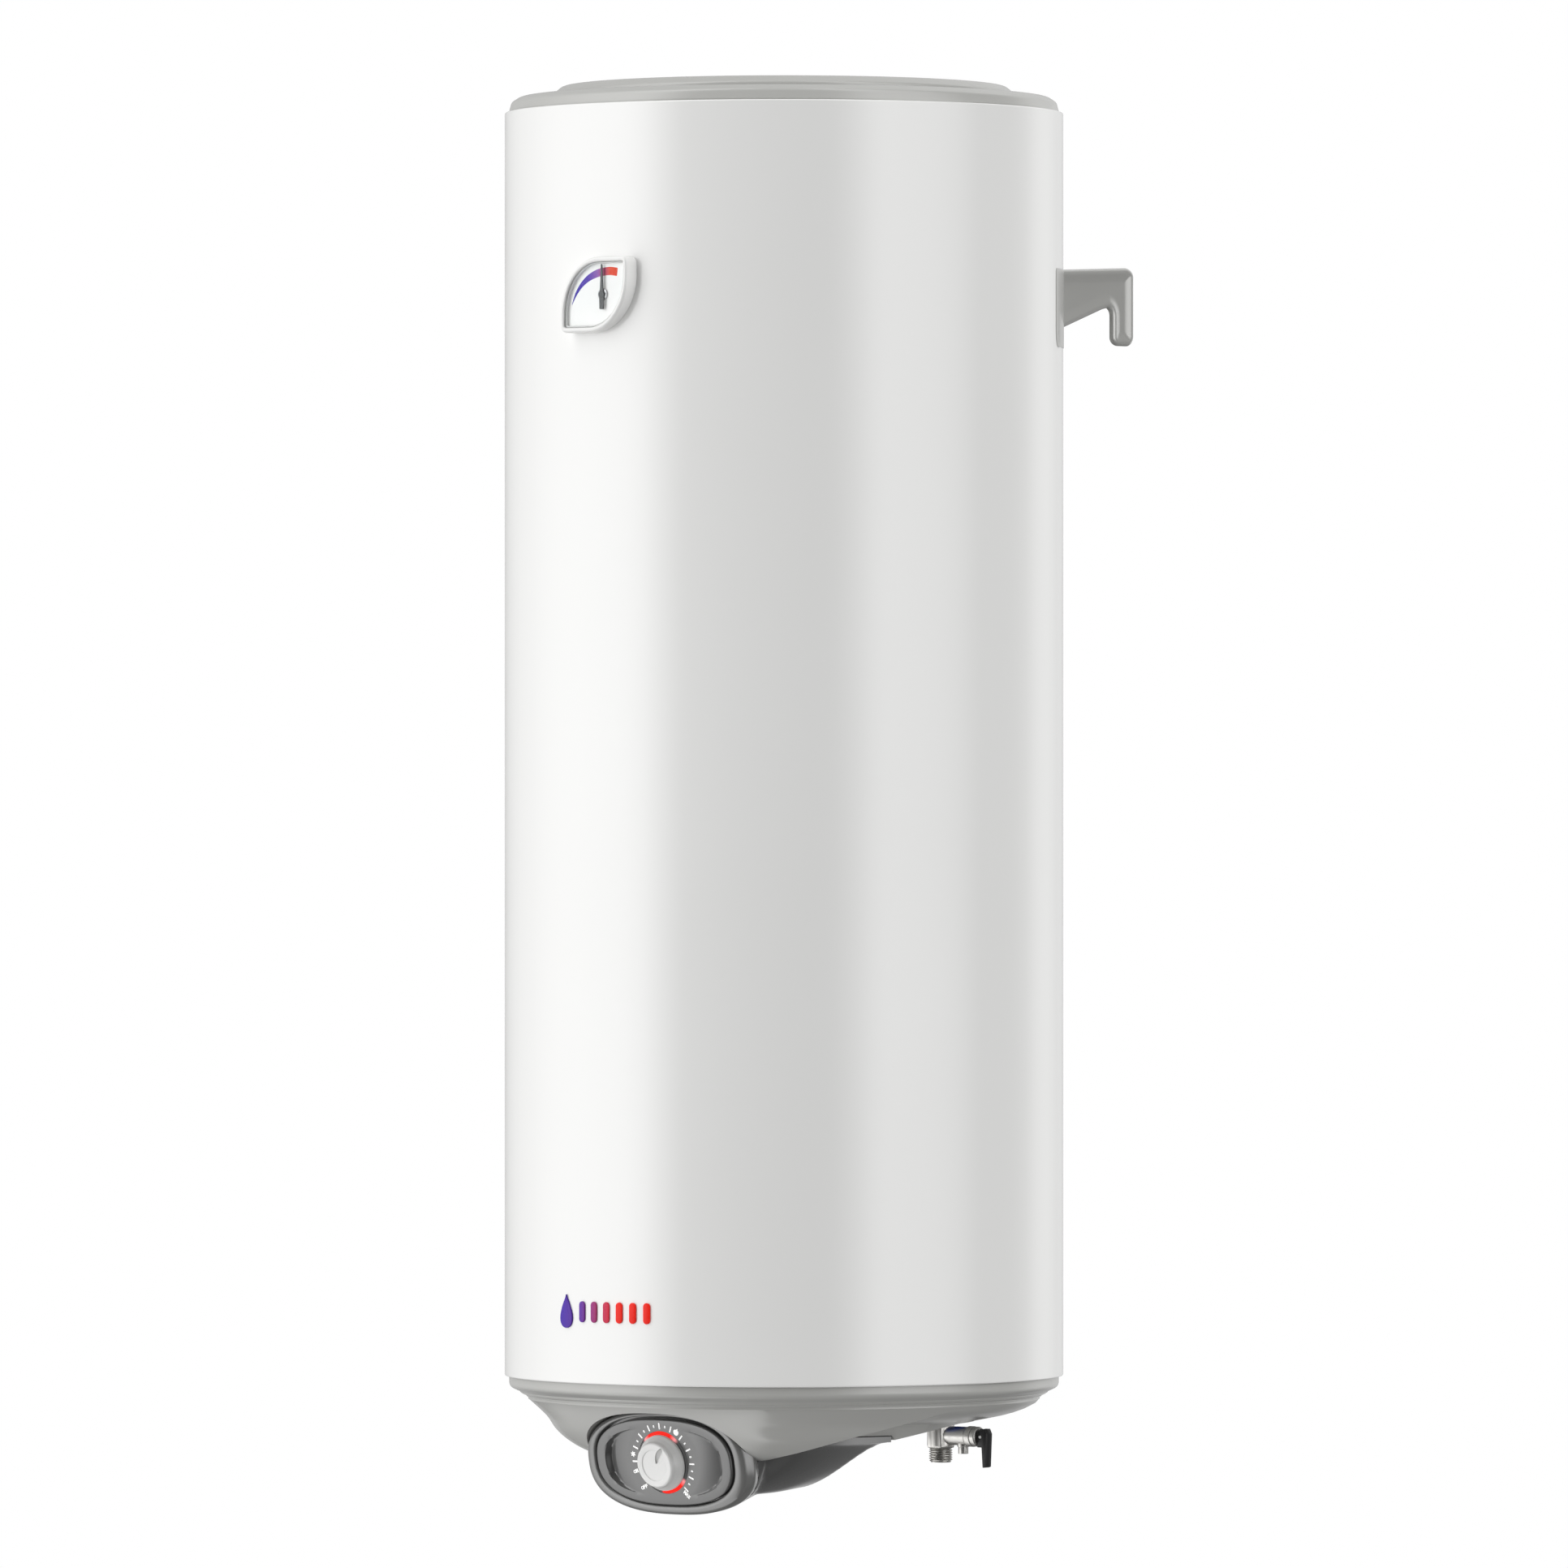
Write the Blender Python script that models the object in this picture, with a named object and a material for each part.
"""Wall-hung electric tank water heater, as an assembly of its real sub-parts.

World frame, in metres: +Z up, the wall is the plane y = 0, the heater's front faces -Y, and the
origin is midway between the seats of the two wall hooks. Most parts are described in millimetres
in the heater's own frame, whose origin is on the tank's axis, level with the jacket's lower edge.
"""

import math

import bmesh
import bpy
from mathutils import Matrix, Vector

MM = 0.001
TAU = 2 * math.pi

# ---- Driving dimensions, in millimetres ----
GAP = 0.3  # between pieces that touch
ROUND = 48  # sides of the jacket
CAP_ROUND = 40  # sides of the plastic caps and of the service cover
TANK_ROUND = 24

WALL_TO_AXIS = 250.0
HOOK_SEAT_Z = 873.5  # height of the hooks' seats above the jacket's lower edge

JACKET_R = 228.0
JACKET_H = 1030.0
JACKET_T = 1.0
CAP_R = 224.4  # plastic caps sit just inside the jacket's rolled edges
PLASTIC_T = 2.5

TANK_R = 196.0
TANK_T = 2.0
TANK_LOW = 46.0  # where the bottom head starts
TANK_HIGH = 965.0
HEAD_H = 50.0

FLANGE_Y = -40.0  # the service flange is forward of the axis
FLANGE_R = 66.0
FLANGE_Z = -20.0  # lower face of the tank's welded collar
FLANGE_T = 5.0
GASKET_T = 2.0
BOLT_CIRCLE_R = 58.0
BOLT_COUNT = 6

PIPE_X = 50.0
PIPE_Y = 140.8
PIPE_R = 10.5  # G 1/2 thread
PIPE_BORE_R = 8.0
PIPE_END_Z = -52.0

BOSS_R = 157.0  # raised middle of the underside
BOSS_WALL_Z = -43.1  # lower edge of the boss where the service cover takes over
COVER_RIM_Z = -50.0
SEAM_Y = -42.0  # the service cover's seam runs across here
COVER_BACK_SLOPE = 0.5
BELL_DEPTH = 41.0  # how far the service cover bulges below its rim

PANEL_Y = -151.0
PANEL_Z = -65.5
PANEL_TILT = math.radians(10.8)  # the panel looks slightly down
PANEL_A = 71.5  # half width and half height of the oval panel
PANEL_B = 35.2
PANEL_POWER = 2.5
HOUSING_A = 86.8
HOUSING_B = 43.0
HOUSING_DROP = 1.8
HOUSING_BACK = -18.0

KNOB_R = 23.0
KNOB_ANGLE = math.radians(35)  # the pointer's place, clockwise from the top

THERMO_Z = 875.5
THERMO_W = 70.7
THERMO_H = 60.6
THERMO_FRONT_Y = -238.0
HUB_X = 7.0

HOOK_X0 = 162.5
HOOK_X1 = 167.0
TRIM_START = 27.0  # the slot trim wraps the jacket between these angles from the side, in degrees
TRIM_END = 53.0
TRIM_T = 1.2

VALVE_Z = -53.0  # height of the relief branch's axis
STEM_PIVOT_X = 45.0  # from the valve body's axis

BADGE_Z = 58.0
BADGE_W = 98.0
BADGE_H = 32.0


# ---- Scene and materials ----
def clear_scene():
    for obj in list(bpy.data.objects):
        bpy.data.objects.remove(obj)


def make_material(name, colour, roughness, metallic=0.0):
    made = bpy.data.materials.new(name)
    made.use_nodes = True
    shader = made.node_tree.nodes["Principled BSDF"]
    shader.inputs["Base Color"].default_value = (*colour, 1.0)
    shader.inputs["Roughness"].default_value = roughness
    shader.inputs["Metallic"].default_value = metallic
    return made


def make_materials():
    return {
        "enamel": make_material("white_enamel", (0.86, 0.86, 0.85), 0.22),
        "light": make_material("light_grey_plastic", (0.46, 0.46, 0.45), 0.38),
        "dark": make_material("dark_grey_plastic", (0.13, 0.13, 0.13), 0.42),
        "knob": make_material("pale_grey_plastic", (0.62, 0.62, 0.61), 0.35),
        "red": make_material("red_light_guide", (0.85, 0.03, 0.01), 0.3),
        "white": make_material("white_plastic", (0.80, 0.80, 0.79), 0.3),
        "black": make_material("black_plastic", (0.02, 0.02, 0.02), 0.4),
        "blue": make_material("blue_plastic", (0.03, 0.08, 0.5), 0.4),
        "clear": make_material("clear_lens", (0.9, 0.9, 0.9), 0.05),
        "steel": make_material("zinc_plated_steel", (0.55, 0.56, 0.57), 0.35, 1.0),
        "hook": make_material("painted_bracket", (0.42, 0.42, 0.40), 0.35),
        "tank": make_material("enamelled_tank", (0.06, 0.10, 0.16), 0.3),
        "foam": make_material("polyurethane_foam", (0.80, 0.70, 0.42), 0.9),
        "nickel": make_material("nickel_plated_brass", (0.62, 0.61, 0.58), 0.25, 1.0),
        "copper": make_material("copper_sheath", (0.72, 0.38, 0.25), 0.3, 1.0),
        "rubber": make_material("rubber", (0.03, 0.03, 0.03), 0.8),
        "magnesium": make_material("magnesium", (0.6, 0.6, 0.6), 0.5, 1.0),
    }


def make_frame(name, location, rotation=(0, 0, 0), parent=None):
    frame = bpy.data.objects.new(name, None)
    bpy.context.scene.collection.objects.link(frame)
    frame.location = Vector(location) * MM
    frame.rotation_euler = rotation
    frame.parent = parent
    return frame


def add_object(name, bm, material, parent, location=(0, 0, 0), rotation=(0, 0, 0)):
    """Turns a bmesh in millimetres into a named object, and shades its round faces smooth."""
    bmesh.ops.scale(bm, vec=(MM, MM, MM), verts=bm.verts)
    bmesh.ops.recalc_face_normals(bm, faces=bm.faces)
    mesh = bpy.data.meshes.new(name)
    bm.to_mesh(mesh)
    bm.free()
    mesh.shade_smooth()
    mesh.set_sharp_from_angle(angle=math.radians(35))
    obj = bpy.data.objects.new(name, mesh)
    bpy.context.scene.collection.objects.link(obj)
    obj.location = Vector(location) * MM
    obj.rotation_euler = rotation
    obj.parent = parent
    if material:
        mesh.materials.append(material)
    return obj


def add_cutter(name, bm, parent, location=(0, 0, 0), rotation=(0, 0, 0)):
    cutter = add_object(name, bm, None, parent, location, rotation)
    cutter.hide_render = True
    cutter.display_type = "WIRE"
    return cutter


def boolean(obj, other, operation="DIFFERENCE"):
    modifier = obj.modifiers.new(f"{operation.lower()}_{other.name}", "BOOLEAN")
    modifier.operation = operation
    modifier.solver = "EXACT"
    modifier.object = other
    return modifier


# ---- Shapes ----
def turned(profile, steps=48):
    """A solid of revolution about Z from (radius, z) points. A profile that ends on the axis at
    both ends is left open there; any other is closed into a ring."""
    bm = bmesh.new()
    verts = [bm.verts.new((r, 0, z)) for r, z in profile]
    on_axis = profile[0][0] == 0 and profile[-1][0] == 0
    pairs = zip(verts, verts[1:] if on_axis else verts[1:] + verts[:1])
    edges = [bm.edges.new(pair) for pair in pairs]
    bmesh.ops.spin(
        bm, geom=verts + edges, cent=(0, 0, 0), axis=(0, 0, 1), angle=TAU, steps=steps, use_merge=True
    )
    bmesh.ops.remove_doubles(bm, verts=bm.verts, dist=1e-4)
    loose = [edge for edge in bm.edges if not edge.link_faces]
    bmesh.ops.delete(bm, geom=loose, context="EDGES")
    return bm


def disc(r, z0, z1, steps=20):
    return turned([(0, z0), (r, z0), (r, z1), (0, z1)], steps)


def ring(r0, r1, z0, z1, steps=24):
    return turned([(r0, z0), (r1, z0), (r1, z1), (r0, z1)], steps)


def prism(outline, z0, z1):
    """Extrudes an (x, y) outline from z0 to z1."""
    bm = bmesh.new()
    face = bm.faces.new([bm.verts.new((x, y, z0)) for x, y in outline])
    made = bmesh.ops.extrude_face_region(bm, geom=[face])
    top = [item for item in made["geom"] if isinstance(item, bmesh.types.BMVert)]
    bmesh.ops.translate(bm, vec=(0, 0, z1 - z0), verts=top)
    return bm


def box(x0, x1, y0, y1, z0, z1):
    return prism([(x0, y0), (x1, y0), (x1, y1), (x0, y1)], z0, z1)


def bevel_edges(bm, width, segments=2, angle=math.radians(40)):
    edges = [e for e in bm.edges if len(e.link_faces) == 2 and e.calc_face_angle(0) > angle]
    bmesh.ops.bevel(bm, geom=edges, offset=width, segments=segments, affect="EDGES", profile=0.5)
    return bm


def skin(loops, close=False, fans=False):
    """Joins loops of equal point counts into one surface: a tube with its ends filled, with fans
    where the ends are not flat, or a closed ring."""
    bm = bmesh.new()
    rows = [[bm.verts.new(p) for p in loop] for loop in loops]
    count = len(rows[0])
    following = rows[1:] + rows[:1] if close else rows[1:]
    for row, after in zip(rows, following):
        for i in range(count):
            j = (i + 1) % count
            bm.faces.new((row[i], row[j], after[j], after[i]))
    if not close:
        ends = [bm.faces.new(rows[0]), bm.faces.new(rows[-1])]
        if fans:
            bmesh.ops.poke(bm, faces=ends)
    bmesh.ops.triangulate(bm, faces=[face for face in bm.faces if len(face.verts) == 4])
    return bm


def oval(a, b, z, drop=0.0, count=32, power=PANEL_POWER):
    """A superellipse in the plane at z, with its centre lowered by drop."""
    points = []
    for i in range(count):
        angle = TAU * i / count
        c, s = math.cos(angle), math.sin(angle)
        x = a * math.copysign(abs(c) ** (2 / power), c)
        y = b * math.copysign(abs(s) ** (2 / power), s)
        points.append((x, y - drop, z))
    return points


def arc(cx, cy, rx, ry, start, end, count):
    """Points on an elliptic arc, angles in degrees."""
    points = []
    for i in range(count + 1):
        angle = math.radians(start + (end - start) * i / count)
        points.append((cx + rx * math.cos(angle), cy + ry * math.sin(angle)))
    return points


def hexagon(across_flats):
    r = across_flats / math.sqrt(3)
    return [(r * math.cos(TAU * i / 6), r * math.sin(TAU * i / 6)) for i in range(6)]


def tube(name, points, r, material, parent, resolution=2):
    """A round bar or wire along a list of points in millimetres."""
    curve = bpy.data.curves.new(name, "CURVE")
    curve.dimensions = "3D"
    curve.bevel_depth = r * MM
    curve.bevel_resolution = resolution
    curve.use_fill_caps = True
    spline = curve.splines.new("POLY")
    spline.points.add(len(points) - 1)
    for point, place in zip(spline.points, points):
        point.co = (*[value * MM for value in place], 1.0)
    obj = bpy.data.objects.new(name, curve)
    bpy.context.scene.collection.objects.link(obj)
    obj.parent = parent
    curve.materials.append(material)
    return obj


def interpolate(x, table):
    """Straight-line interpolation in a table of (x, value), held flat past its ends."""
    if x <= table[0][0]:
        return table[0][1]
    for (x0, v0), (x1, v1) in zip(table, table[1:]):
        if x <= x1:
            return v0 + (v1 - v0) * (x - x0) / (x1 - x0)
    return table[-1][1]


def smoothstep(t):
    t = min(1.0, max(0.0, t))
    return t * t * (3 - 2 * t)


def smooth_min(a, b, width):
    h = max(0.0, width - abs(a - b)) / width
    return min(a, b) - h * h * width / 4


# ---- Jacket, top cap, foam and tank ----
def thermo_opening(parent):
    centre = (HUB_X, -JACKET_R, THERMO_Z)
    return add_cutter("thermo_opening_cut", disc(20, -45, 20, 24), parent, centre, (math.pi / 2, 0, 0))


def hook_slot(side, parent):
    x0, x1 = sorted((side * (HOOK_X0 - 0.5), side * (HOOK_X1 + 0.5)))
    return add_cutter(f"hook_slot_cut_{side}", box(x0, x1, 95, 200, 842, 909), parent)


def build_jacket(mats, heater):
    r, h, t = JACKET_R, JACKET_H, JACKET_T
    profile = [
        (r - 3.0, 0), (r - 0.9, 0.9), (r, 3.0),
        (r, h - 3.0), (r - 0.9, h - 0.9), (r - 3.0, h),
        (r - 3.0, h - t), (r - t, h - 3.4), (r - t, 3.4), (r - 3.0, t),
    ]  # fmt: skip
    jacket = add_object("jacket", turned(profile, ROUND), mats["enamel"], heater)
    boolean(jacket, thermo_opening(heater))
    for side in (-1, 1):
        boolean(jacket, hook_slot(side, heater))


def build_top_cap(mats, heater):
    outer = [
        (0, 1052.0), (170, 1051.6), (182, 1050), (188, 1046.6), (188.6, 1041.6), (214, 1042.2), (221, 1038.7),
        (CAP_R, 1033), (CAP_R, 1012),
    ]  # fmt: skip
    inner = [
        (CAP_R - PLASTIC_T, 1012), (CAP_R - PLASTIC_T, 1032.4), (213, 1039.4), (186, 1038.9), (185.4, 1045.4),
        (181, 1047.4), (169, 1049.0), (0, 1049.4),
    ]  # fmt: skip
    add_object("top_cap", turned(outer + inner, CAP_ROUND), mats["light"], heater)


def head_points(r, rim_z, height, count=4):
    """Half of an elliptical tank head, from its rim to its apex on the axis."""
    angles = [math.pi / 2 * i / count for i in range(count + 1)]
    points = [(r * math.cos(a), rim_z + height * math.sin(a)) for a in angles]
    points[-1] = (0, rim_z + height)
    return points


def tank_profile(grow=0.0):
    r = TANK_R + grow
    low = head_points(r, TANK_LOW, -HEAD_H - grow)
    high = head_points(r, TANK_HIGH, HEAD_H + grow)
    return low[::-1] + high


def flange_places():
    for i in range(BOLT_COUNT):
        angle = TAU * (i + 0.5) / BOLT_COUNT
        yield i + 1, BOLT_CIRCLE_R * math.cos(angle), FLANGE_Y + BOLT_CIRCLE_R * math.sin(angle)


def build_tank(mats, heater):
    tank = add_object("inner_tank", turned(tank_profile(), TANK_ROUND), mats["tank"], heater)
    collar = add_cutter("collar_body", disc(FLANGE_R, FLANGE_Z, 6, 24), heater, (0, FLANGE_Y, 0))
    hollow = add_cutter("tank_hollow", turned(tank_profile(-TANK_T), TANK_ROUND), heater)
    mouth = add_cutter("flange_mouth", disc(44, FLANGE_Z - 5, 30, 20), heater, (0, FLANGE_Y, 0))
    boolean(tank, collar, "UNION")
    boolean(tank, hollow)
    boolean(tank, mouth)
    for side in (-1, 1):
        hole = add_cutter(f"pipe_port_{side}", disc(PIPE_R + GAP, -40, 60, 16), heater, (side * PIPE_X, PIPE_Y, 0))
        boolean(tank, hole)
    for i, x, y in flange_places():
        boolean(tank, add_cutter(f"bolt_hole_{i}", disc(4.3, -30, -8, 8), heater, (x, y, 0)))


def build_foam(mats, heater):
    outer = [
        (0, -11), (203, -11), (219.4, -6.5), (220.4, 9), (226.4, 10), (226.4, 1010),
        (220.4, 1011), (220.4, 1031), (212, 1037), (0, 1037),
    ]  # fmt: skip
    foam = add_object("insulation_foam", turned(outer, TANK_ROUND), mats["foam"], heater)
    boolean(foam, add_cutter("foam_hollow", turned(tank_profile(0.5), TANK_ROUND), heater))
    boolean(foam, add_cutter("foam_flange_well", disc(FLANGE_R + 4, -30, 40, 20), heater, (0, FLANGE_Y, 0)))
    band_room = ring(TANK_R - 6, TANK_R + 6, 844, 907, 24)
    boolean(foam, add_cutter("foam_band_room", band_room, heater))
    thermo_well = disc(20.5, -60, 20, 24)
    boolean(foam, add_cutter("foam_thermo_well", thermo_well, heater, (HUB_X, -JACKET_R, THERMO_Z), (math.pi / 2, 0, 0)))
    for side in (-1, 1):
        boolean(foam, hook_slot(side, heater))
        pipe_way = disc(PIPE_R + 1, -40, 60, 12)
        boolean(foam, add_cutter(f"foam_pipe_way_{side}", pipe_way, heater, (side * PIPE_X, PIPE_Y, 0)))


# ---- Wall hooks ----
def hook_outline():
    """The hook's side view: x runs to the wall and y up, in the heater's frame."""
    return (
        [(100, 843.1), (158.3, 855.6), (209.5, 872.0)]
        + arc(215.0, 866.5, 6.5, 7.0, 80, 0, 4)
        + arc(231.0, 849.5, 9.5, 7.0, 180, 270, 4)
        + arc(241.5, 851.0, 8.5, 8.5, 270, 360, 4)
        + arc(239.5, 899.3, 10.5, 7.5, 0, 90, 4)
        + [(158, 903.1), (100, 901.5)]
    )


def inset_outline(points, amount):
    """Moves each point of a clockwise or anticlockwise outline inwards."""
    area = sum(x0 * y1 - x1 * y0 for (x0, y0), (x1, y1) in zip(points, points[1:] + points[:1]))
    turn = 1 if area > 0 else -1
    made = []
    for i, (x, y) in enumerate(points):
        before = Vector(points[i - 1])
        after = Vector(points[(i + 1) % len(points)])
        along = (after - before).normalized()
        made.append((x - turn * along.y * amount, y + turn * along.x * amount))
    return made


def build_hooks(mats, heater):
    """Two pressed steel hooks. Each has a sunk web inside a raised rim on its outer face."""
    upright = Matrix(((0, 0, 1, 0), (1, 0, 0, 0), (0, 1, 0, 0), (0, 0, 0, 1)))
    for side, label in ((-1, "left"), (1, "right")):
        outline = hook_outline()
        bm = prism(outline, HOOK_X0, HOOK_X1)
        bmesh.ops.transform(bm, matrix=upright, verts=bm.verts)
        recess = prism(inset_outline(outline, 5.5), HOOK_X1 - 2.0, HOOK_X1 + 5)
        bmesh.ops.transform(recess, matrix=upright, verts=recess.verts)
        band_face = ring(150, TANK_R + 4.4, 830, 920, 36)
        if side < 0:
            mirror = Matrix.Scale(-1, 4, (1, 0, 0))
            bmesh.ops.transform(bm, matrix=mirror, verts=bm.verts)
            bmesh.ops.transform(recess, matrix=mirror, verts=recess.verts)
        hook = add_object(f"wall_hook_{label}", bm, mats["hook"], heater)
        boolean(hook, add_cutter(f"hook_recess_{label}", recess, heater))
        boolean(hook, add_cutter(f"hook_root_cut_{label}", band_face, heater))


def build_slot_trims(mats, heater):
    """Thin curved plates that frame the slots where the hooks come out of the jacket."""
    steps = 9
    r0 = JACKET_R + GAP
    r1 = r0 + TRIM_T
    for side, label in ((-1, "left"), (1, "right")):
        loops = []
        for i in range(steps + 1):
            angle = math.radians(TRIM_START + (TRIM_END - TRIM_START) * i / steps)
            c, s = side * math.cos(angle), math.sin(angle)
            low = 848 if i in (0, steps) else 838
            loops.append([(r0 * c, r0 * s, low), (r1 * c, r1 * s, low), (r1 * c, r1 * s, 913), (r0 * c, r0 * s, 913)])
        trim = add_object(f"slot_trim_{label}", skin(loops), mats["light"], heater)
        boolean(trim, hook_slot(side, heater))


def build_mounting_band(mats, heater):
    """A steel band round the back of the tank, which the hooks are welded to."""
    steps = 16
    r0, r1 = TANK_R + 0.7, TANK_R + 3.7
    loops = []
    for i in range(steps + 1):
        angle = math.radians(22 + (158 - 22) * i / steps)
        c, s = math.cos(angle), math.sin(angle)
        loops.append([(r0 * c, r0 * s, 846), (r1 * c, r1 * s, 846), (r1 * c, r1 * s, 905), (r0 * c, r0 * s, 905)])
    add_object("mounting_band", skin(loops), mats["steel"], heater)


# ---- Underside: shapes shared by the bottom cap and the service cover ----
SKIRT_EDGE = [  # lower edge of the skirt against the angle from the side, in degrees
    (-90, -44), (-66, -50), (-57, -62), (-50, -58), (-32.5, -42.5), (-17.6, -30.3),
    (-11, -24.5), (-6, -21.9), (2.3, -20.2), (10.4, -19.4), (24, -19.2),
]  # fmt: skip
SKIRT_SIDE = [(-62, 160), (-56.5, 170), (-49.5, 180), (-42.5, 187), (-33.5, 193), (-26.5, 200), (-18.5, 209)]
SKIRT_FRONT = [(-64, 141), (-53, 149), (-42, 158), (-31, 165), (-23, 169), (-18.5, 172)]
FLOOR = [(157, -36), (184.6, -30.5), (203, -23.8), (207, -21)]


def side_angle(phi):
    """Folds an angle onto the right half, -90 at the front to 90 at the back, in degrees."""
    degrees = math.degrees(phi)
    degrees = (degrees + 180) % 360 - 180
    if degrees > 90:
        return 180 - degrees
    if degrees < -90:
        return -180 - degrees
    return degrees


def skirt_r(z, phi):
    """The light skirt's radius: a round bowl with a flattened front."""
    round_r = interpolate(z, SKIRT_SIDE)
    forward = -math.sin(phi)
    if forward < 0.2:
        return round_r
    return smooth_min(round_r, interpolate(z, SKIRT_FRONT) / forward, 9.0)


def boss_z(y):
    """Height of the boss's sloping lower face behind the seam."""
    if y >= 60:
        return FLOOR[0][1]
    return FLOOR[0][1] - 11 * ((60 - max(y, SEAM_Y)) / (60 - SEAM_Y)) ** 1.6


def chin_z(x, y):
    """The rounded chin that carries the control panel, which narrows and rises to the back."""
    keel = interpolate(y, [(-127, -106.4), (-119, -105.3), (-86, -99.5), (-55, -94.5), (SEAM_Y, -90)])
    half = interpolate(y, [(-127, 84.5), (-86, 62), (SEAM_Y, 42)])
    if abs(x) >= half:
        return 0.0
    return PANEL_Z - (PANEL_Z - keel) * (1 - (abs(x) / half) ** 2.4) ** (1 / 2.4)


def cover_z(x, y):
    """Height of the service cover's outer surface: a bell behind the chin, then a slope up."""
    back = max(0.0, y - SEAM_Y)
    y = max(-127.0, min(y, SEAM_Y))
    reach = interpolate(y, [(-127, 15), (SEAM_Y, 98)])
    inset = max(0.0, BOSS_R - math.hypot(x, y))
    bell = COVER_RIM_Z + 1.6 * smoothstep((y + 90) / 48) - BELL_DEPTH * smoothstep(inset / reach)
    return min(bell, chin_z(x, y)) + COVER_BACK_SLOPE * back


def cover_edge_r(phi):
    """Radius of the service cover's outline: the boss in front, then where its back slope ends."""
    c, s = math.cos(phi), math.sin(phi)
    if BOSS_R * s <= SEAM_Y:
        return BOSS_R
    r = 10.0
    while r < BOSS_R and cover_z(r * c, r * s) < boss_z(r * s) - 3.4:
        r += 0.5
    return min(r, BOSS_R)


def smoothed_edge(count):
    """The cover's outline at evenly spaced angles."""
    return [(TAU * i / count, cover_edge_r(TAU * i / count)) for i in range(count)]


def cap_section(phi, opening_r):
    """One radial section of the bottom cap, as a closed loop of (radius, z)."""
    lower = interpolate(side_angle(phi), SKIRT_EDGE)
    section = [(CAP_R, 8), (CAP_R, -6.5), (220.5, -12), (210, -15.5), (209.2, -18.3)]
    for i in range(5):
        z = -19.0 + (lower + 19.0) * i / 4
        section.append((max(skirt_r(z, phi), BOSS_R + 3.7), z))
    start = max(section[-1][0] - 2.6, BOSS_R + 1.2)
    for i in range(3):
        r = start + (BOSS_R - start) * i / 3
        section.append((r, min(interpolate(r, FLOOR), lower + 0.1 * i)))
    y = BOSS_R * math.sin(phi)
    boss_low = min(BOSS_WALL_Z if y <= SEAM_Y else boss_z(y), FLOOR[0][1] - 0.6)
    y = opening_r * math.sin(phi)
    lip_low = min(BOSS_WALL_Z if y <= SEAM_Y else boss_z(y), FLOOR[0][1] - 0.6)
    section += [(BOSS_R, boss_low), (opening_r, lip_low), (opening_r, lip_low + 2.4)]
    section += [(BOSS_R - 2.6, boss_low + 2.4), (BOSS_R - 2.4, -33.0)]
    shelf_r = skirt_r(-22, phi) - 1.5
    section += [(min(184, shelf_r - 3), -27.4 if shelf_r > 187 else -24), (shelf_r, -17.3)]
    section += [(218, -10.6), (CAP_R - PLASTIC_T, -7.5), (CAP_R - PLASTIC_T, 8)]
    return section


def build_bottom_cap(mats, heater, panel):
    loops = []
    for phi, edge in smoothed_edge(CAP_ROUND):
        opening = BOSS_R - 7 if edge >= BOSS_R else max(20.0, edge - 8)
        c, s = math.cos(phi), math.sin(phi)
        loops.append([(r * c, r * s, z) for r, z in cap_section(phi, opening)])
    cap = add_object("bottom_cap", skin(loops, close=True), mats["light"], heater)
    sections = [(85.1, 43.6, HOUSING_BACK - 22), (85.1, 43.6, HOUSING_BACK), (87.4, 43.7, -9.5), (88, 46.5, 60)]
    flare = skin([oval(a, b, z, HOUSING_DROP) for a, b, z in sections])
    boolean(cap, add_cutter("housing_opening", flare, panel))
    for side in (-1, 1):
        way = disc(PIPE_R + 0.6, -60, 0, 20)
        boolean(cap, add_cutter(f"cap_pipe_way_{side}", way, heater, (side * PIPE_X, PIPE_Y, 0)))
    boolean(cap, add_cutter("gland_way", disc(8.3, -60, 0, 20), heater, (-104, 62, 0)))


def cover_inner_z(x, y):
    """The cover's inner surface, set in from the outer one also where that is steep."""
    r = max(1.0, math.hypot(x, y))
    outward = (r + 3.2) / r
    return cover_z(x * outward, y * outward) + 2.3


def screw_places():
    return [(1, 74.0, -2.0), (2, -74.0, -2.0)]


def post_loops(x, y, count):
    """A hollow post round a screw, with its mouth flush with the cover's underside."""
    loops = []
    for r, z in ((5.6, -49.0), (5.6, None), (8.0, None), (8.0, -42.6), (2.4, -42.6), (2.4, -49.0)):
        loop = []
        for i in range(count):
            px = x + r * math.cos(TAU * i / count)
            py = y + r * math.sin(TAU * i / count)
            loop.append((px, py, cover_z(px, py) + 1.2 if z is None else z))
        loops.append(loop)
    return loops


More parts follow.
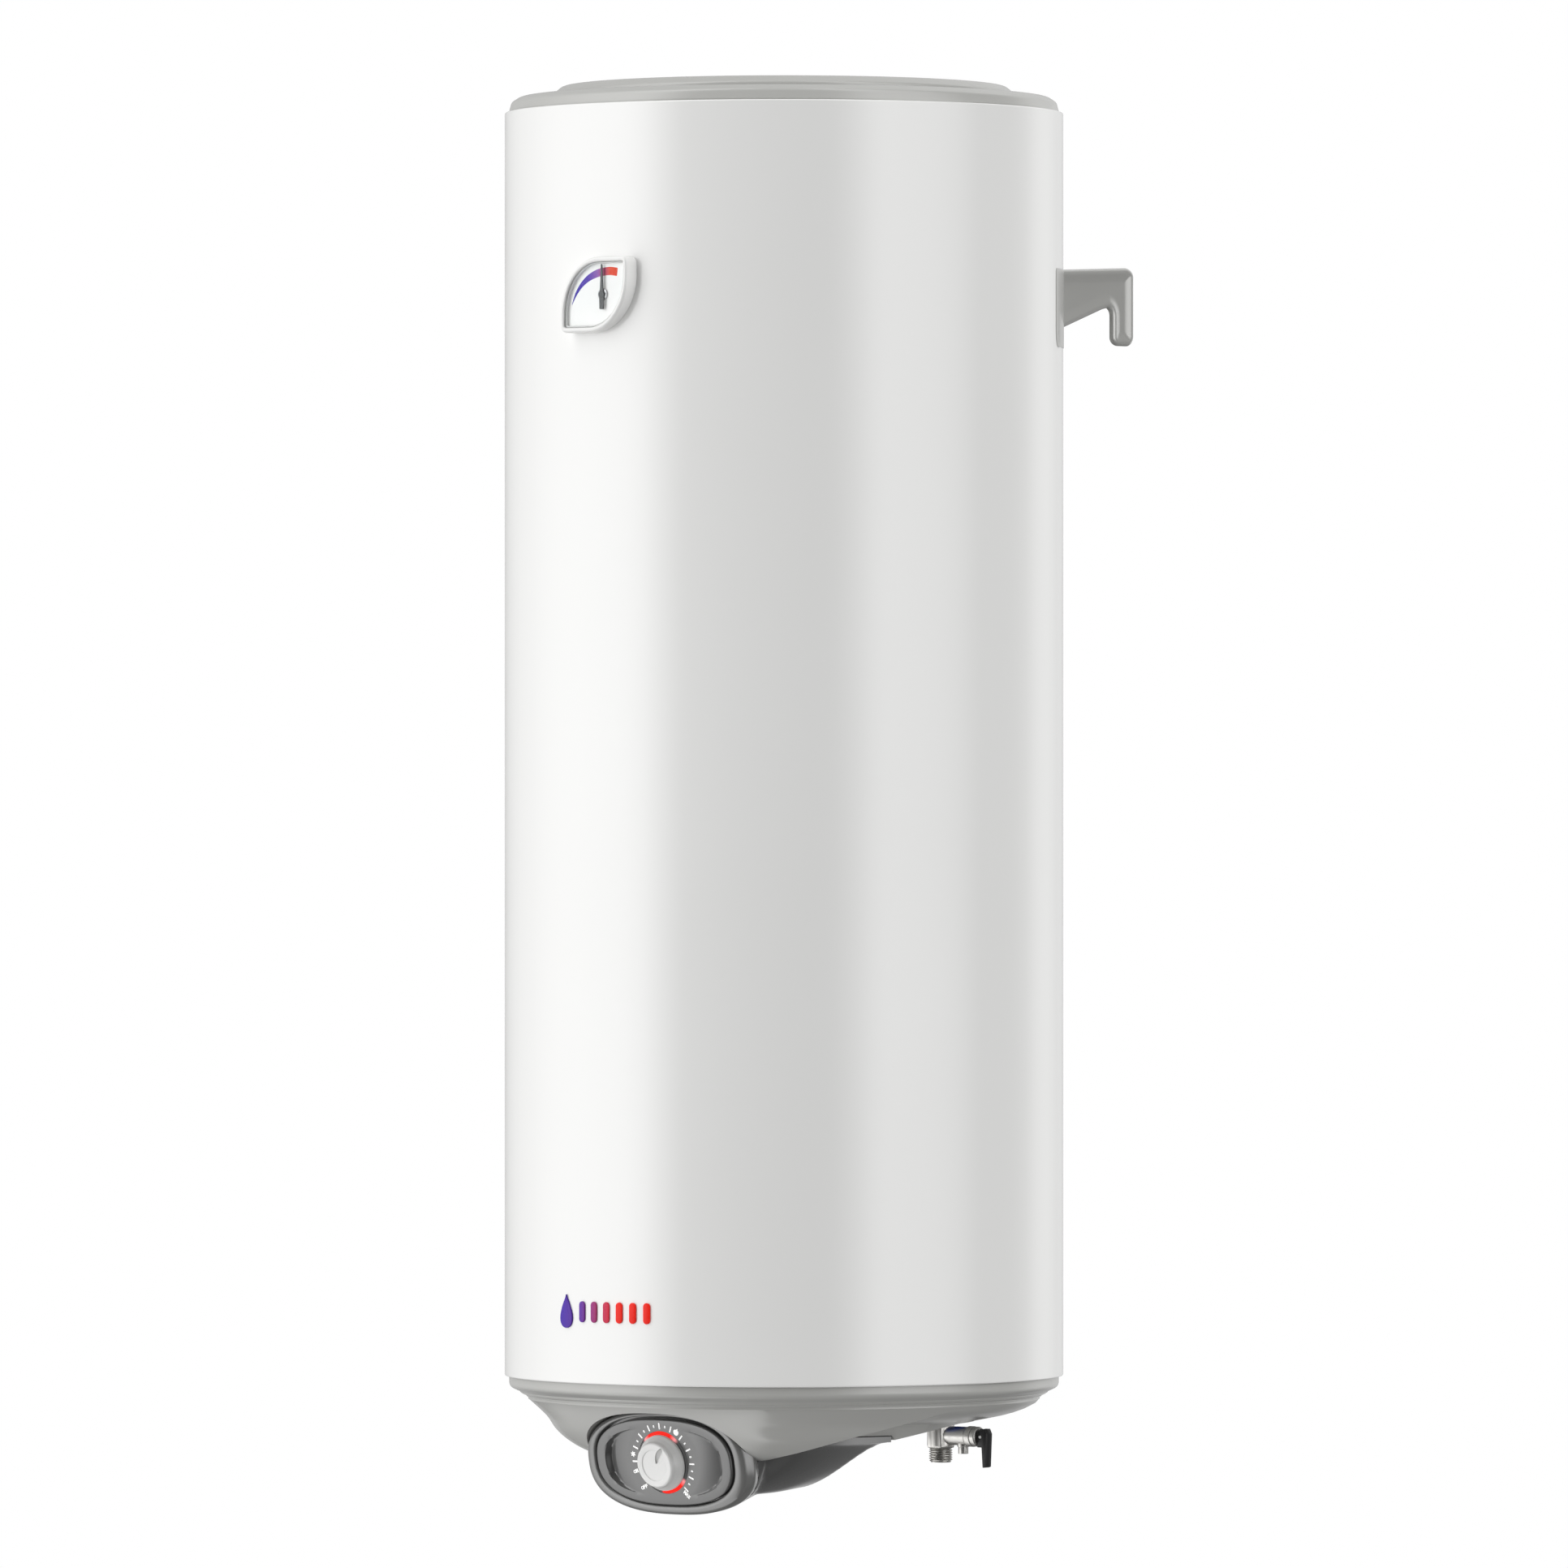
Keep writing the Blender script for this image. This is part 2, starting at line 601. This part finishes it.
def build_service_cover(mats, heater, panel):
    """A moulded shell over the flange and the thermostat, open at the top."""
    rings = 7
    outer_loops, inner_loops = [], []
    edges = smoothed_edge(CAP_ROUND)
    for k in range(rings):
        share = 1 - k / rings
        outer, inner = [], []
        for phi, edge in edges:
            c, s = math.cos(phi), math.sin(phi)
            r = edge * share
            outer.append((r * c, r * s, cover_z(r * c, r * s)))
            r = (edge - 2.6) * share
            inner.append((r * c, r * s, cover_inner_z(r * c, r * s)))
        outer_loops.append(outer)
        inner_loops.append(inner)
    rim_out, rim_in = [], []
    for phi, edge in edges:
        c, s = math.cos(phi), math.sin(phi)
        in_front = edge * s <= SEAM_Y and edge >= BOSS_R
        top = BOSS_WALL_Z - GAP if in_front else boss_z(edge * s) - GAP
        top = min(top, -36.6 - GAP)
        rim_out.append((edge * c, edge * s, top))
        rim_in.append(((edge - 2.6) * c, (edge - 2.6) * s, top))
    loops = outer_loops[::-1] + [rim_out, rim_in] + inner_loops
    bm = skin(loops, fans=True)
    cover = add_object("service_cover", bm, mats["dark"], heater)
    front = box(-190, 190, -120, 90, HOUSING_BACK - GAP, 90)
    boolean(cover, add_cutter("cover_front_cut", front, panel))
    for i, x, y in screw_places():
        boolean(cover, add_cutter(f"screw_post_room_{i}", disc(6.8, -120, -30, 12), heater, (x, y, 0)))
        post = skin(post_loops(x, y, 12), close=True)
        boolean(cover, add_cutter(f"screw_post_{i}", post, heater), "UNION")


def build_cover_screws(mats, heater):
    for i, x, y in screw_places():
        profile = [(0, -52.4), (2.6, -52.4), (4.4, -51.6), (4.4, -49.3), (2.0, -49.3), (2.0, -41), (0, -40)]
        add_object(f"cover_screw_{i}", turned(profile, 16), mats["steel"], heater, (x, y, 0))


# ---- Control panel, in its own frame: x right, y up, z out of the panel ----
def build_control_housing(mats, panel):
    sections = [
        (73.2, 36.9, 0.5, 0), (75.0, 38.3, 0, 0.2), (84.0, 41.8, -5, 1.1),
        (HOUSING_A, HOUSING_B, -9.5, HOUSING_DROP), (HOUSING_A - 2.5, HOUSING_B, HOUSING_BACK, HOUSING_DROP),
        (HOUSING_A - 5.0, HOUSING_B - 2.5, HOUSING_BACK, HOUSING_DROP), (83.0, 40.0, -11, HOUSING_DROP),
        (66.0, 30.0, -7.4, 0), (66.0, 30.0, -4.6, 0),
        (PANEL_A + 0.5, PANEL_B + 0.5, -4.6, 0), (PANEL_A + 0.5, PANEL_B + 0.5, 0.2, 0),
    ]  # fmt: skip
    loops = [oval(a, b, z, drop) for a, b, z, drop in sections]
    add_object("control_housing", skin(loops, close=True), mats["dark"], panel)


def build_control_panel(mats, panel):
    """An oval plate with a raised border round a shallow dish."""
    sections = [
        (PANEL_A, PANEL_B, -4.2), (PANEL_A, PANEL_B, -0.9), (PANEL_A - 0.9, PANEL_B - 0.9, 0),
        (61, 32.4, 0), (51, 27, -2.3),
    ]  # fmt: skip
    loops = [oval(a, b, z) for a, b, z in sections]
    plate = add_object("control_panel", skin(loops), mats["dark"], panel)
    boolean(plate, add_cutter("light_guide_seat", ring(22.6, 25.3, -3.4, 5, 28), panel))
    boolean(plate, add_cutter("shaft_way", disc(4.0, -10, 5, 20), panel))


def build_light_guide(mats, panel):
    add_object("indicator_ring", ring(22.9, 25.0, -3.1, -1.7, 28), mats["red"], panel)


def knob_profile():
    return [
        (0, 12.6), (13.0, 12.6), (13.7, 13.2), (17.2, 13.2), (18.6, 12.4), (19.4, 8.0), (21.4, 4.0),
        (KNOB_R, 1.0), (KNOB_R, -1.4), (20.0, -1.4), (20.0, 1.0), (3.3, 1.0), (3.3, 9.0), (0, 9.0),
    ]  # fmt: skip


def build_knob(mats, panel):
    knob = add_object("temperature_knob", turned(knob_profile(), 24), mats["knob"], panel, rotation=(0, 0, -KNOB_ANGLE))
    notch = prism([(-0.4, 7.0), (2.6, 8.4), (3.4, 12.0), (0.6, 17.6), (-0.6, 17.6), (-0.8, 12.0)], 11.4, 20)
    boolean(knob, add_cutter("knob_notch", notch, panel, rotation=(0, 0, -KNOB_ANGLE)))
    add_object("knob_shaft", turned([(0, -25), (3, -25), (3, 8.6), (0, 8.6)], 16), mats["steel"], panel)


def build_thermostat(mats, panel):
    body = bevel_edges(box(-22, 22, -24, 20, -44, -17), 2.0, 1)
    thermostat = add_object("thermostat_body", body, mats["black"], panel)
    for i, (x, y) in enumerate(((-17, 0), (17, 0))):
        boolean(thermostat, add_cutter(f"thermostat_post_{i}", disc(3.5, -18, -4.5, 12), panel, (x, y, 0)), "UNION")
    boolean(thermostat, add_cutter("thermostat_bore", disc(3.3, -26, 0, 16), panel))
    boolean(thermostat, add_cutter("reset_bore", disc(2.8, -60, -38, 16), panel, (12, -14, 0)))
    button = turned([(0, -50), (2.0, -50), (2.5, -49.4), (2.5, -40.4), (0, -40.4)], 14)
    add_object("reset_button", button, mats["red"], panel, (12, -14, 0))


# ---- Flange and what hangs in the tank ----
def plate_bottom():
    return FLANGE_Z - 2 * GAP - GASKET_T - FLANGE_T


ELEMENT_X = 16.0
ELEMENT_R = 4.2
POCKET_PLACE = (-26.0, -26.0)
ANODE_PLACE = (24.0, 24.0)


def build_flange(mats, heater):
    low = plate_bottom()
    at = (0, FLANGE_Y, 0)
    plate = add_object("flange_plate", disc(FLANGE_R, low, low + FLANGE_T, 32), mats["steel"], heater, at)
    for i, x, y in flange_places():
        boolean(plate, add_cutter(f"plate_bolt_hole_{i}", disc(4.3, low - 5, low + 12, 10), heater, (x, y, 0)))
        head = prism(hexagon(12.8), low - GAP - 5.3, low - GAP)
        bolt = add_object(f"flange_bolt_{i}", head, mats["steel"], heater, (x, y, 0))
        shank = add_cutter(f"bolt_shank_{i}", disc(3.9, low - 4, -8.6, 10), heater, (x, y, 0))
        boolean(bolt, shank, "UNION")
    for side in (-1, 1):
        hole = disc(ELEMENT_R + 0.4, low - 5, low + 12, 14)
        boolean(plate, add_cutter(f"element_hole_{side}", hole, heater, (side * ELEMENT_X, FLANGE_Y, 0)))
    px, py = POCKET_PLACE
    boolean(plate, add_cutter("pocket_hole", disc(5.4, low - 5, low + 12, 14), heater, (px, FLANGE_Y + py, 0)))
    ax, ay = ANODE_PLACE
    boolean(plate, add_cutter("anode_hole", disc(4.4, low - 5, low + 12, 14), heater, (ax, FLANGE_Y + ay, 0)))
    gasket_low = low + FLANGE_T + GAP
    add_object("flange_gasket", ring(44.5, 52, gasket_low, gasket_low + GASKET_T, 32), mats["rubber"], heater, at)


def build_element(mats, heater):
    """A hairpin heating element: two legs up from the flange, joined by a bend."""
    low, high = plate_bottom() - 12, 300.0
    points = [(-ELEMENT_X, FLANGE_Y, low), (-ELEMENT_X, FLANGE_Y, 150)]
    points += [(x, FLANGE_Y, z) for x, z in arc(0, high, ELEMENT_X, ELEMENT_X, 180, 0, 12)]
    points += [(ELEMENT_X, FLANGE_Y, 150), (ELEMENT_X, FLANGE_Y, low)]
    tube("heating_element", points, ELEMENT_R, mats["copper"], heater)


def build_pocket_and_anode(mats, heater):
    low = plate_bottom()
    px, py = POCKET_PLACE
    pocket = [(0, 229), (3.6, 229), (3.6, low - 3), (7.5, low - 3), (7.5, low - GAP), (5.0, low - GAP)]
    pocket += [(5.0, 230), (0, 233)]
    add_object("sensor_pocket", turned(pocket, 14), mats["copper"], heater, (px, FLANGE_Y + py, 0))
    ax, ay = ANODE_PLACE
    rod = [(0, low - 8), (4.0, low - 8), (4.0, 8), (11, 10), (11, 330), (9, 334), (0, 335)]
    add_object("anode_rod", turned(rod, 16), mats["magnesium"], heater, (ax, FLANGE_Y + ay, 0))
    nut = prism(hexagon(12.8), low - GAP - 6, low - GAP)
    nut_object = add_object("anode_nut", nut, mats["steel"], heater, (ax, FLANGE_Y + ay, 0))
    boolean(nut_object, add_cutter("anode_nut_bore", disc(4.3, low - 20, low + 5, 14), heater, (ax, FLANGE_Y + ay, 0)))


def build_capillary(mats, heater):
    """The thermostat's capillary tube, from its body to the bulb in the sensor pocket."""
    px, py = POCKET_PLACE
    x, y = px, FLANGE_Y + py
    route = [
        (x, y, 210), (x, y, 60), (x, y, -22), (x, y, -44), (x - 1, y - 2, -52), (x - 2, y - 8, -58),
        (-22, -88, -60), (-18, -95, -60.5),
    ]  # fmt: skip
    tube("sensor_capillary", route, 1.3, mats["copper"], heater, 1)


# ---- Water pipes ----
def pipe_profile(top):
    return [(PIPE_BORE_R, PIPE_END_Z), (PIPE_R, PIPE_END_Z), (PIPE_R, top), (PIPE_BORE_R, top)]


def build_pipes(mats, heater):
    cold, hot = (PIPE_X, PIPE_Y, 0), (-PIPE_X, PIPE_Y, 0)
    add_object("cold_inlet_pipe", turned(pipe_profile(62), 20), mats["steel"], heater, cold)
    add_object("hot_outlet_pipe", turned(pipe_profile(984), 20), mats["steel"], heater, hot)
    add_object("cold_collar", ring(PIPE_R + GAP, 16.5, -41.0, -37.0, 24), mats["blue"], heater, cold)
    add_object("hot_collar", ring(PIPE_R + GAP, 16.5, -41.0, -37.0, 24), mats["red"], heater, hot)
    hood = [(0, 76), (20, 74), (22, 66), (20, 66), (18.4, 72), (7.4, 73), (7.4, 50), (5.8, 50), (5.8, 73.4), (0, 73.6)]
    add_object("inlet_diffuser", turned(hood, 16), mats["white"], heater, cold)


# ---- Safety valve, in a frame on the cold pipe's axis ----
def along_x(bm):
    """Turns a shape made about Z to lie along X."""
    bmesh.ops.rotate(bm, cent=(0, 0, 0), matrix=Matrix.Rotation(math.pi / 2, 3, "Y"), verts=bm.verts)
    return bm


def build_safety_valve(mats, valve):
    body = add_object("safety_valve_body", bevel_edges(prism(hexagon(25), -63, -41.3), 0.8, 1), mats["nickel"], valve)
    thread = [(0, -75.2), (9.4, -75.2), (10.4, -74.2), (10.4, -64.0), (9.6, -62.8), (9.6, -60), (0, -60)]
    boolean(body, add_cutter("valve_thread", turned(thread, 18), valve), "UNION")
    branch = along_x(turned([(0, 0), (7.7, 0), (7.7, 30), (8.4, 31), (8.4, 36), (0, 36)], 18))
    boolean(body, add_cutter("valve_branch", branch, valve, (0, 0, VALVE_Z)), "UNION")
    nozzle = disc(4.2, -67.5, VALVE_Z, 16)
    boolean(body, add_cutter("drain_nozzle", nozzle, valve, (24, 0, 0)), "UNION")
    boolean(body, add_cutter("valve_socket", disc(PIPE_R + GAP, PIPE_END_Z - 0.5, -30, 24), valve))
    boolean(body, add_cutter("valve_bore", disc(7.2, -90, PIPE_END_Z + 2, 20), valve))
    bore = along_x(disc(5.2, 0, 60, 16))
    boolean(body, add_cutter("branch_bore", bore, valve, (0, 0, VALVE_Z)))
    boolean(body, add_cutter("nozzle_bore", disc(2.6, -90, VALVE_Z, 12), valve, (24, 0, 0)))
    bonnet = along_x(turned([(2.3, 36.3), (8.2, 36.3), (8.2, 40.4), (7.2, 41.3), (2.3, 41.3)], 18))
    add_object("relief_bonnet", bonnet, mats["nickel"], valve, (0, 0, VALVE_Z))


def build_relief_parts(mats, valve):
    stem = [(0, 11.2), (4.6, 11.2), (4.6, 14), (1.9, 14), (1.9, STEM_PIVOT_X), (0, STEM_PIVOT_X)]
    stem = add_object("relief_stem", along_x(turned(stem, 12)), mats["nickel"], valve, (0, 0, VALVE_Z))
    pin_line = (STEM_PIVOT_X, 0, VALVE_Z)
    across = (math.pi / 2, 0, 0)
    boolean(stem, add_cutter("stem_eye", disc(2.5, -1.7, 1.7, 14), valve, pin_line, across), "UNION")
    boolean(stem, add_cutter("stem_pin_bore", disc(1.25, -9, 9, 12), valve, pin_line, across))
    coils, per_turn, r = 5, 8, 3.5
    points = []
    for i in range(coils * per_turn + 1):
        angle = TAU * i / per_turn
        points.append((14.9 + 20.0 * i / (coils * per_turn), r * math.cos(angle), VALVE_Z + r * math.sin(angle)))
    tube("relief_spring", points, 0.55, mats["steel"], valve, 0)
    poppet = [(0, -66), (2.0, -66), (2.0, -60.5), (6.3, -60), (6.3, -57.5), (0, -56.5)]
    add_object("check_poppet", turned(poppet, 16), mats["white"], valve)


def build_lever(mats, valve):
    """The relief lever hangs from its pin and lifts outwards; its heel draws the stem out."""
    outline = [
        (-3.2, -8.6), (-3.2, 3.4), (0.2, 6.3), (5.6, 6.3), (8.2, 2.2), (7.0, -24.5),
        (3.2, -25.3), (2.6, -8.6),
    ]  # fmt: skip
    bm = prism(outline, -6.0, 6.0)
    bmesh.ops.rotate(bm, cent=(0, 0, 0), matrix=Matrix.Rotation(math.pi / 2, 3, "X"), verts=bm.verts)
    at = (STEM_PIVOT_X, 0, VALVE_Z)
    lever = add_object("relief_lever", bevel_edges(bm, 0.5, 1), mats["black"], valve, at)
    slot = box(-9, 3.2, -2.2, 2.2, -6.0, 9)
    boolean(lever, add_cutter("lever_slot", slot, valve, at))
    bore = disc(1.25, -9, 9, 12)
    boolean(lever, add_cutter("lever_pin_bore", bore, valve, at, (math.pi / 2, 0, 0)))
    add_object("lever_pin", disc(0.95, -6.4, 6.4, 12), mats["steel"], valve, at, (math.pi / 2, 0, 0))


# ---- Thermometer, in a frame on the front: x right, y up, z outwards ----
def leaf(grow=0.0):
    """A leaf-shaped outline: two opposite corners are sharp and two are swept round."""
    w, h = THERMO_W / 2 + grow, THERMO_H / 2 + grow
    small = max(2.0, 6 + grow)
    big_x, big_y = 40 + grow, 46 + grow
    return (
        arc(w - small, h - small, small, small, 0, 90, 3)
        + arc(-w + big_x, h - big_y, big_x, big_y, 90, 180, 7)
        + arc(-w + small, -h + small, small, small, 180, 270, 3)
        + arc(w - big_x, -h + big_y, big_x, big_y, 270, 360, 7)
    )


def leaf_loop(grow, z):
    return [(x, y, z) for x, y in leaf(grow)]


def build_thermometer(mats, heater):
    """The frame's z = 0 is the bezel's front face."""
    thermo = make_frame("thermo_frame", (0, THERMO_FRONT_Y, THERMO_Z), (math.pi / 2, 0, 0), heater)
    back = THERMO_FRONT_Y + JACKET_R  # where the jacket's front line lies in this frame
    bezel_loops = [
        leaf_loop(0, -14), leaf_loop(0, -1.6), leaf_loop(-0.5, -0.5), leaf_loop(-1.6, 0), leaf_loop(-3.4, 0),
        leaf_loop(-4.2, -0.6), leaf_loop(-5.0, -4.0), leaf_loop(-5.0, -4.4), leaf_loop(-2.4, -4.4), leaf_loop(-2.4, -14),
    ]  # fmt: skip
    bezel = add_object("thermometer_bezel", skin(bezel_loops, close=True), mats["white"], thermo)
    jacket_room = add_cutter("bezel_back_cut", turned([(0, -60), (JACKET_R + GAP, -60), (JACKET_R + GAP, 60), (0, 60)], ROUND), heater, (0, 0, THERMO_Z))
    boolean(bezel, jacket_room)
    dial = add_object("thermometer_dial", skin([leaf_loop(-2.8, -6.2), leaf_loop(-2.8, -4.7)]), mats["white"], thermo)
    boolean(dial, add_cutter("dial_bore", disc(1.4, -20, 5, 14), thermo, (HUB_X, 0, 0)))
    add_object("thermometer_hub", turned([(1.4 + 0.3, -4.3), (4.6, -4.3), (5.0, -4.0), (5.0, -3.4), (1.7, -3.4)], 16), mats["steel"], thermo, (HUB_X, 0, 0))
    lens = skin([leaf_loop(-5.4, -1.2), leaf_loop(-4.7, -0.6), leaf_loop(-4.7, -0.35), leaf_loop(-6.0, -0.3)])
    add_object("thermometer_lens", lens, mats["clear"], thermo)
    pointer = prism([(-2.4, -11), (2.4, -11), (2.6, -2), (2.1, 4), (0.8, 23.4), (-0.8, 23.4), (-2.1, 4), (-2.6, -2)], -2.9, -2.0)
    add_object("thermometer_pointer", pointer, mats["black"], thermo, (HUB_X, 0, 0))
    spindle = turned([(0, -26), (1.0, -26), (1.0, -3.2), (0, -3.2)], 12)
    add_object("pointer_spindle", spindle, mats["steel"], thermo, (HUB_X, 0, 0))
    can = [(1.4, -10.5), (17, -10.5), (17, -38), (0, -38), (0, -28), (1.4, -28)]
    add_object("thermometer_body", turned(can, 24), mats["steel"], thermo, (HUB_X, 0, 0))
    return back


# ---- Badge ----
BADGE_BARS = 5


def bent(bm, r):
    """Wraps a flat shape (x right, y up, z outwards) round the jacket's front at radius r."""
    for vert in bm.verts:
        x, y, z = vert.co
        angle = x / r
        vert.co = ((r + z) * math.sin(angle), -(r + z) * math.cos(angle), y)
    return bm


def build_badge(mats, heater):
    """A thin plate with a plain row of raised bars and a drop. It carries no lettering."""
    columns = 12
    lower, upper = [], []
    for i in range(columns + 1):
        x = BADGE_W * (i / columns - 0.5)
        half = BADGE_H / 2 - (2.0 if i in (0, columns) else 0.0)
        lower.append((x, half))
        upper.append((x, -half))
    loops = []
    for (x, top), (_, bottom) in zip(lower, upper):
        loops.append([(x, bottom, 0.3), (x, top, 0.3), (x, top, 0.8), (x, bottom, 0.8)])
    badge = add_object("front_badge", bent(skin(loops), JACKET_R), mats["white"], heater, (0, 0, BADGE_Z))
    for i in range(BADGE_BARS):
        centre = -10 + 13.5 * i
        height = 5.0 + 1.6 * i
        outline = arc(centre, height - 3, 3, 3, 0, 180, 4) + arc(centre, -height + 3, 3, 3, 180, 360, 4)
        bar = bent(prism(outline, 0.5, 1.5), JACKET_R)
        boolean(badge, add_cutter(f"badge_bar_{i + 1}", bar, heater, (0, 0, BADGE_Z)), "UNION")
    drop = arc(-34, -3.5, 8, 8, 150, 390, 12) + [(-34, 13)]
    boolean(badge, add_cutter("badge_drop", bent(prism(drop, 0.5, 1.5), JACKET_R), heater, (0, 0, BADGE_Z)), "UNION")


# ---- Electrical pieces under the flange ----
def build_electrics(mats, heater):
    block = bevel_edges(box(-17, 17, -9, 9, -58, -42), 1.0, 1)
    add_object("terminal_block", block, mats["white"], heater, (0, FLANGE_Y + 1, 0))
    gland = [(4.0, -50), (9.5, -50), (10.5, -48), (10.5, -40.5), (8.0, -40.5), (8.0, -24), (4.0, -24)]
    add_object("cable_gland", turned(gland, 16), mats["black"], heater, (-104, 62, 0))
    nut = prism(hexagon(22), -32.0, -27.0)
    nut_object = add_object("gland_nut", nut, mats["black"], heater, (-104, 62, 0))
    boolean(nut_object, add_cutter("gland_nut_bore", disc(8.3, -50, 0, 20), heater, (-104, 62, 0)))


def main():
    clear_scene()
    mats = make_materials()
    heater = make_frame("heater_frame", (0, -WALL_TO_AXIS, -HOOK_SEAT_Z))
    panel = make_frame("panel_frame", (0, PANEL_Y, PANEL_Z), (math.pi / 2 + PANEL_TILT, 0, 0), heater)
    valve = make_frame("valve_frame", (PIPE_X, PIPE_Y, 0), (0, 0, 0), heater)
    build_jacket(mats, heater)
    build_top_cap(mats, heater)
    build_tank(mats, heater)
    build_foam(mats, heater)
    build_hooks(mats, heater)
    build_slot_trims(mats, heater)
    build_mounting_band(mats, heater)
    build_bottom_cap(mats, heater, panel)
    build_service_cover(mats, heater, panel)
    build_cover_screws(mats, heater)
    build_control_housing(mats, panel)
    build_control_panel(mats, panel)
    build_light_guide(mats, panel)
    build_knob(mats, panel)
    build_thermostat(mats, panel)
    build_flange(mats, heater)
    build_element(mats, heater)
    build_pocket_and_anode(mats, heater)
    build_capillary(mats, heater)
    build_pipes(mats, heater)
    build_safety_valve(mats, valve)
    build_relief_parts(mats, valve)
    build_lever(mats, valve)
    build_thermometer(mats, heater)
    build_badge(mats, heater)
    build_electrics(mats, heater)


main()
